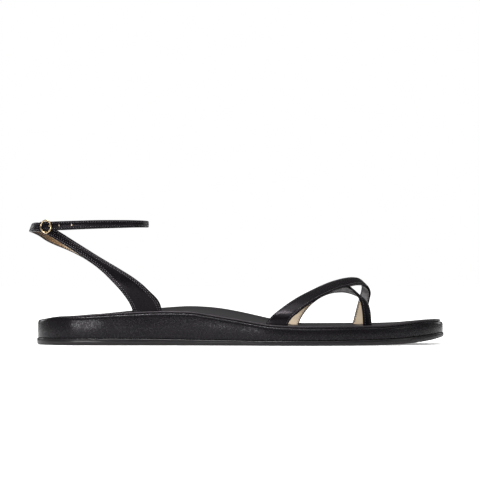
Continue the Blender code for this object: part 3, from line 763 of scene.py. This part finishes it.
def edge_rows(frames, thick, bare_end, insets=(SEAM_INSET,)):
    """Lines of stitches near both edges, on the outer face and the lining."""
    middle, across, outward, half = frames
    length = np.linalg.norm(np.diff(middle, axis=0), axis=1).sum()
    drop = max(int(len(middle) * bare_end / length), 1)
    keep = slice(drop, len(middle) - drop)
    rows = []
    for side in (1.0, -1.0):
        for inset in insets:
            place = side * (half - inset)[:, None]
            for depth in (-FACE_SINK, LINING_SINK - thick):
                rows.append((middle + across * place + outward * depth)[keep])
    return rows


toe_parts = []
toe_rows = []
for name, rows, painted_sheen_z in (("over_toe_strap", OVER_STRAP, OVER_PAINTED_SHEEN_Z),
                            ("under_toe_strap", UNDER_STRAP, UNDER_PAINTED_SHEEN_Z)):
    frames = strap_frames(rooted(rows), TOE_STEPS)
    piece = strap_piece(name, frames, STRAP_THICK,
                        [strap_leather, lining_leather, crossing_painted_sheen],
                        painted_sheen_z)
    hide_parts("toe_straps")
    toe_rows += edge_rows(frames, STRAP_THICK, BARE_END)
    toe_parts.append(piece)
toe_parts.append(stitch_piece("toe_strap_stitches", toe_rows))
for piece in toe_parts:
    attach(piece, "root")

# Heel strap
# One strap of the same lined calf, wide where its ends are tucked into the
# insole under the ankle and narrow round the back of the heel. Its lining
# is darkened towards the back of the heel with painted shade. Two rows of
# thread run along each edge, lightened to grey as a painted highlight.
HEEL_STRAP = (
    # lower_x, lower_y, lower_z, upper_x, upper_y, upper_z
    (-62.7, -28.6, 20.8, -45.0, -29.2, 21.4),
    (-64.6, -29.4, 25.4, -47.0, -30.0, 26.3),
    (-68.0, -30.1, 30.5, -51.8, -30.5, 31.9),
    (-71.9, -30.3, 35.3, -57.0, -30.5, 36.9),
    (-75.9, -29.9, 39.6, -62.9, -29.9, 41.5),
    (-80.1, -29.0, 43.8, -70.0, -28.8, 46.1),
    (-85.0, -27.8, 48.0, -77.6, -27.5, 50.6),
    (-90.6, -26.5, 52.0, -84.8, -26.1, 54.9),
    (-96.6, -25.2, 55.9, -92.0, -24.8, 59.4),
    (-103.1, -23.5, 60.0, -99.4, -23.2, 64.0),
    (-109.8, -21.1, 64.0, -106.8, -20.9, 68.6),
    (-115.6, -18.0, 67.2, -113.4, -18.0, 72.3),
    (-120.4, -14.0, 69.0, -118.8, -14.0, 74.3),
    (-124.6, -8.9, 69.3, -122.9, -9.0, 74.7),
    (-126.9, -4.2, 69.2, -124.9, -4.2, 74.4),
    (-127.4, 0.5, 69.1, -125.3, 0.5, 74.3),
)
HEEL_STEPS = 230
HEEL_MIDDLE_Y = 0.5
MEDIAL_ROOT_RISE, MEDIAL_ROOT_IN = 0.8, (2.9, 4.8)   # in: lower and upper edge
RISE_TOP, RISE_SPAN = 30.0, 8.0      # z where the rise starts, and its fade
IN_TOP, IN_SPAN = 44.0, 24.0         # the same for the shift inwards
MEDIAL_SPREAD, SPREAD_X = 0.0011, 2.5
MEDIAL_UPPER_SHARE = 0.4
SECOND_SEAM = 2.3            # the second row of stitches, in from the edge
MEDIAL_DROP = np.array((
    # x, how far the medial lower edge hangs below the lateral one
    (-127.4, 0.0), (-126.3, 0.7), (-124.4, 1.6), (-122.7, 2.3),
    (-120.8, 3.0), (-118.7, 3.6), (-114.0, 3.2), (-107.7, 1.9),
    (-100.0, 0.6), (-94.8, 0.0), (-40.0, 0.0),
))


def medial_edge(x, y, z, share, root_in):
    """Point of the heel strap's medial half, from the lateral one."""
    y = 2 * HEEL_MIDDLE_Y - y
    x = SPREAD_X + (x - SPREAD_X) * (1.0 + MEDIAL_SPREAD * y)
    near_root = min(max((IN_TOP - z) / IN_SPAN, 0.0), 1.0)
    rise = MEDIAL_ROOT_RISE * min(max((RISE_TOP - z) / RISE_SPAN, 0.0), 1.0)
    drop = share * smooth_column(MEDIAL_DROP, 1, np.array([x]))[0]
    return x, y - root_in * near_root, z + rise - drop


def heel_rows():
    """Rows of the whole heel strap, lateral root to medial root."""
    medial = []
    for row in HEEL_STRAP[-2::-1]:
        lower = medial_edge(*row[:3], 1.0, MEDIAL_ROOT_IN[0])
        upper = medial_edge(*row[3:], MEDIAL_UPPER_SHARE, MEDIAL_ROOT_IN[1])
        medial.append(lower + upper)
    return list(HEEL_STRAP) + medial


# The lining's colour falls from cream to near black towards the back of the
# heel: painted shade on its inner face.
heel_lining = grained_leather(
    "heel_lining", (0.80, 0.74, 0.70), (1.0, 1.0, 0.94), 2100.0, 0.08,
    (0.45, 0.62), ((-0.126, (0.030, 0.026, 0.022)),
                   (-0.117, (0.16, 0.09, 0.035)),
                   (-0.110, (0.34, 0.20, 0.09)),
                   (-0.102, (0.76, 0.62, 0.46))))
# black thread coloured grey: a painted highlight along the stitches
thread_painted_highlight = grained_leather(
    "thread_painted_highlight", (0.045, 0.041, 0.046), (0.13, 0.12, 0.13),
    5200.0, 0.03, (0.26, 0.44))
heel_frames = strap_frames(rooted(heel_rows()), HEEL_STEPS)
heel_parts = [
    strap_piece("heel_strap", heel_frames, STRAP_THICK,
                [strap_leather, heel_lining]),
    stitch_piece("heel_strap_stitches",
                 edge_rows(heel_frames, STRAP_THICK, BARE_END,
                           (SEAM_INSET, SECOND_SEAM)), thread_painted_highlight),
]
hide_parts("heel_ankle_strap")

# Ankle strap
# A thin strap of the same calf, sewn to the heel strap at the medial back.
# It runs round the front of the ankle and back through the buckle, with
# punched holes for the prong.
ANKLE_SPANS, ANKLE_STEPS = 60, 230
ANKLE_CENTRE = (-90.7, 0.5)
ANKLE_FRONT, ANKLE_REAR, ANKLE_SIDE = 37.0, 40.0, 27.0
SEWN_REAR, SEWN_SIDE = 37.8, 24.7
ANKLE_TIP_ANGLE, ANKLE_SEWN_ANGLE = 44.0, 322.0      # in degrees
FRONT_ANGLE, MEDIAL_ANGLE = 180.0, 270.0
ANKLE_MEDIAL_RISE, RISE_WIDTH = 0.5, 15.0
ANKLE_THICK = 1.4
ANKLE_LEVELS = np.array((
    # x, bottom, top
    (-121.0, 69.5, 74.8), (-115.0, 69.6, 74.9), (-108.0, 69.8, 75.1),
    (-98.0, 70.3, 75.4), (-82.0, 70.9, 75.8), (-64.0, 71.3, 75.9),
    (-53.0, 71.5, 75.6),
))
BUCKLE_X = -115.2
ANKLE_HOLES = (-107.6, -99.8)
HOLE_DIAMETER = 1.2
PRONG_HOLE_SHIFT, PRONG_HOLE_DIAMETER, PRONG_HOLE_STRETCH = 1.35, 1.5, 1.5
PIN_BEHIND, PIN_AHEAD, PIN_SIDES = 3.0, 1.5, 24      # of the hole punch
ANGLE_STEP = 0.1
ANKLE_BARE_END = 1.5


def ankle_point(angle):
    """Plan position on the strap's outer face, by the angle from the back
    of the heel over the lateral side and the front."""
    sewn = max(angle - MEDIAL_ANGLE, 0.0) / (ANKLE_SEWN_ANGLE - MEDIAL_ANGLE)
    side = ANKLE_SIDE + (SEWN_SIDE - ANKLE_SIDE) * sewn
    behind = ANKLE_FRONT if angle > FRONT_ANGLE else ANKLE_REAR
    behind += (SEWN_REAR - behind) * sewn
    turn = math.radians(angle)
    length = behind if math.cos(turn) > 0.0 else ANKLE_FRONT
    return np.array((ANKLE_CENTRE[0] - length * math.cos(turn),
                     ANKLE_CENTRE[1] - side * math.sin(turn)))


def ankle_height(x):
    """Heights of the strap's lower and upper edge."""
    low = smooth_column(ANKLE_LEVELS, 1, np.array([x]))[0]
    high = smooth_column(ANKLE_LEVELS, 2, np.array([x]))[0]
    return low, high


def ankle_rows():
    """Rows of the strap from its free end to where it is sewn on."""
    rows = []
    for angle in np.linspace(ANKLE_TIP_ANGLE, ANKLE_SEWN_ANGLE,
                             ANKLE_SPANS + 1):
        x, y = ankle_point(angle)
        low, high = ankle_height(x)
        rise = ANKLE_MEDIAL_RISE * min(max(y / RISE_WIDTH, 0.0), 1.0)
        rows.append((x, y, high + rise, x, y, low + rise))
    return rows


def ankle_frame_at(x):
    """Middle of the outer face at x on the lateral side, with the forward
    and outward directions."""
    angle = ANKLE_TIP_ANGLE
    while ankle_point(angle)[0] < x:
        angle += ANGLE_STEP
    ahead = ankle_point(angle + 1.0) - ankle_point(angle - 1.0)
    forward = Vector((*ahead, 0.0)).normalized()
    middle = Vector((*ankle_point(angle), sum(ankle_height(x)) / 2))
    return middle, forward, forward.cross(Vector((0.0, 0.0, 1.0)))


def wire(name, path, radius, sides, material, closed=False):
    """Round wire along points in millimetres."""
    path = [Vector(place) for place in path]
    points, faces = [], []
    count = len(path)
    normal = None
    for i, place in enumerate(path):
        before = path[i - 1] if closed or i else path[0]
        after = path[(i + 1) % count] if closed or i < count - 1 else path[-1]
        along = (after - before).normalized()
        normal = normal or along.orthogonal().normalized()
        normal = (normal - along * normal.dot(along)).normalized()
        other = along.cross(normal)
        for k in range(sides):
            turn = 2 * math.pi * k / sides
            points.append(place + normal * (radius * math.cos(turn))
                          + other * (radius * math.sin(turn)))
    for i in range(count if closed else count - 1):
        for k in range(sides):
            a, b = i * sides + k, i * sides + (k + 1) % sides
            faces.append((a, b, (b + sides) % len(points),
                          (a + sides) % len(points)))
    if not closed:
        faces.append(tuple(range(sides)))
        faces.append(tuple((count - 1) * sides + k for k in range(sides)))
    return mesh_piece(name, [tuple(p) for p in points], faces, [material])


def punch(piece, x, diameter, stretch=1.0):
    """Cuts a hole through the strap; stretch lengthens it along the strap."""
    middle, forward, outward = ankle_frame_at(x)
    ends = [middle - outward * PIN_BEHIND, middle + outward * PIN_AHEAD]
    pin = wire("pin", ends, diameter / 2, PIN_SIDES, strap_leather)
    centre = (middle - Vector((*MIDDLE, 0.0))) * MM
    for vertex in pin.data.vertices:
        offset = (vertex.co - centre).dot(forward)
        vertex.co += forward * offset * (stretch - 1.0)
    cut = piece.modifiers.new("hole", "BOOLEAN")
    cut.operation, cut.solver, cut.object = "DIFFERENCE", "EXACT", pin
    graph = bpy.context.evaluated_depsgraph_get()
    mesh = bpy.data.meshes.new_from_object(piece.evaluated_get(graph))
    piece.modifiers.remove(cut)
    piece.data = mesh
    bpy.data.objects.remove(pin)


ankle_frames = strap_frames(ankle_rows(), ANKLE_STEPS)
ankle_strap = strap_piece("ankle_strap", ankle_frames, ANKLE_THICK,
                          [strap_leather, lining_leather])
for x in ANKLE_HOLES:
    punch(ankle_strap, x, HOLE_DIAMETER)
punch(ankle_strap, BUCKLE_X + PRONG_HOLE_SHIFT, PRONG_HOLE_DIAMETER,
      PRONG_HOLE_STRETCH)
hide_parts("heel_ankle_strap")
heel_parts.append(ankle_strap)
heel_parts.append(stitch_piece(
    "ankle_strap_stitches",
    edge_rows(ankle_frames, ANKLE_THICK, ANKLE_BARE_END)))
for piece in heel_parts:
    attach(piece, "root")

# Buckle
# A cast ring with a bar set back behind the strap, and a prong that comes
# through the strap's hole and rests on the ring, all plated in pale gold.
RING_WIDTH, RING_HEIGHT, RING_DROP = 8.0, 8.5, 0.35
RING_WIRE, BAR_WIRE, PRONG_WIRE = 0.95, 0.72, 0.75   # diameters
RING_STEPS, RING_SIDES, BAR_SIDES, PRONG_SIDES = 72, 20, 14, 16
BAR_LEG, BAR_BEND = 3.35, 0.5        # height of its legs, and their corner
BEND_CUT = BAR_BEND * 0.3            # the corner's middle, in from a sharp one
PRONG_REACH = RING_WIDTH / 2 + 0.2

gold_plate, tree, shader = surface("gold_plate", Metallic=1.0,
                                   Roughness=0.16)
place = add(tree, "ShaderNodeTexCoord")
haze = add(tree, "ShaderNodeTexNoise", Scale=600.0, Detail=4.0)
tone = two_tones(tree, (0.46, 0.34, 0.20), (0.58, 0.46, 0.30))
polish = add(tree, "ShaderNodeMapRange", To_Min=0.10, To_Max=0.26)
dents = add(tree, "ShaderNodeBump", Strength=0.12, Distance=0.00004)
join(tree, (place, "Object", haze, "Vector"), (haze, "Fac", tone, 0),
     (tone, "Result", shader, "Base Color"), (haze, "Fac", polish, "Value"),
     (polish, "Result", shader, "Roughness"), (haze, "Fac", dents, "Height"),
     (dents, "Normal", shader, "Normal"))

middle, forward, outward = ankle_frame_at(BUCKLE_X)
up = Vector((0.0, 0.0, 1.0))
centre = middle + outward * (GAP + RING_WIRE / 2) - up * RING_DROP
wide, high = (RING_WIDTH - RING_WIRE) / 2, (RING_HEIGHT - RING_WIRE) / 2
circle = [centre + forward * (wide * math.cos(turn))
          + up * (high * math.sin(turn))
          for turn in np.linspace(0.0, 2 * math.pi, RING_STEPS,
                                  endpoint=False)]
ring = wire("buckle_ring", circle, RING_WIRE / 2, RING_SIDES, gold_plate,
            True)

back = GAP + RING_WIRE / 2 + ANKLE_THICK + GAP + BAR_WIRE / 2
leg = ((BAR_LEG, -0.1), (BAR_LEG, back - BAR_BEND),
       (BAR_LEG - BEND_CUT, back - BEND_CUT), (BAR_LEG - BAR_BEND, back))
bar_path = [centre + up * height - outward * depth for height, depth in leg]
bar_path += [centre - up * height - outward * depth
             for height, depth in reversed(leg)]
bar = wire("buckle_bar", bar_path, BAR_WIRE / 2, BAR_SIDES, gold_plate)

behind, ahead = -ANKLE_THICK - GAP - BAR_WIRE / 2, GAP + PRONG_WIRE / 2
over = GAP + RING_WIRE + GAP + PRONG_WIRE / 2
start = BAR_WIRE / 2 + GAP + PRONG_WIRE / 2
prong_path = curve_through([
    tuple(middle + forward * along + outward * out) for along, out in (
        (start, behind), (start + 0.1, behind + 0.9), (start + 0.45, -0.1),
        (start + 1.0, ahead + 0.1), (PRONG_REACH - 1.4, over - 0.15),
        (PRONG_REACH - 0.5, over), (PRONG_REACH, over))], 6)
prong = wire("buckle_prong_pin", prong_path, PRONG_WIRE / 2, PRONG_SIDES,
             gold_plate)
for piece, node_name in ((ring, "buckle"), (bar, "buckle"),
                         (prong, "buckle_prong")):
    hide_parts(node_name)
    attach(piece, "root")

bpy.context.view_layer.update()
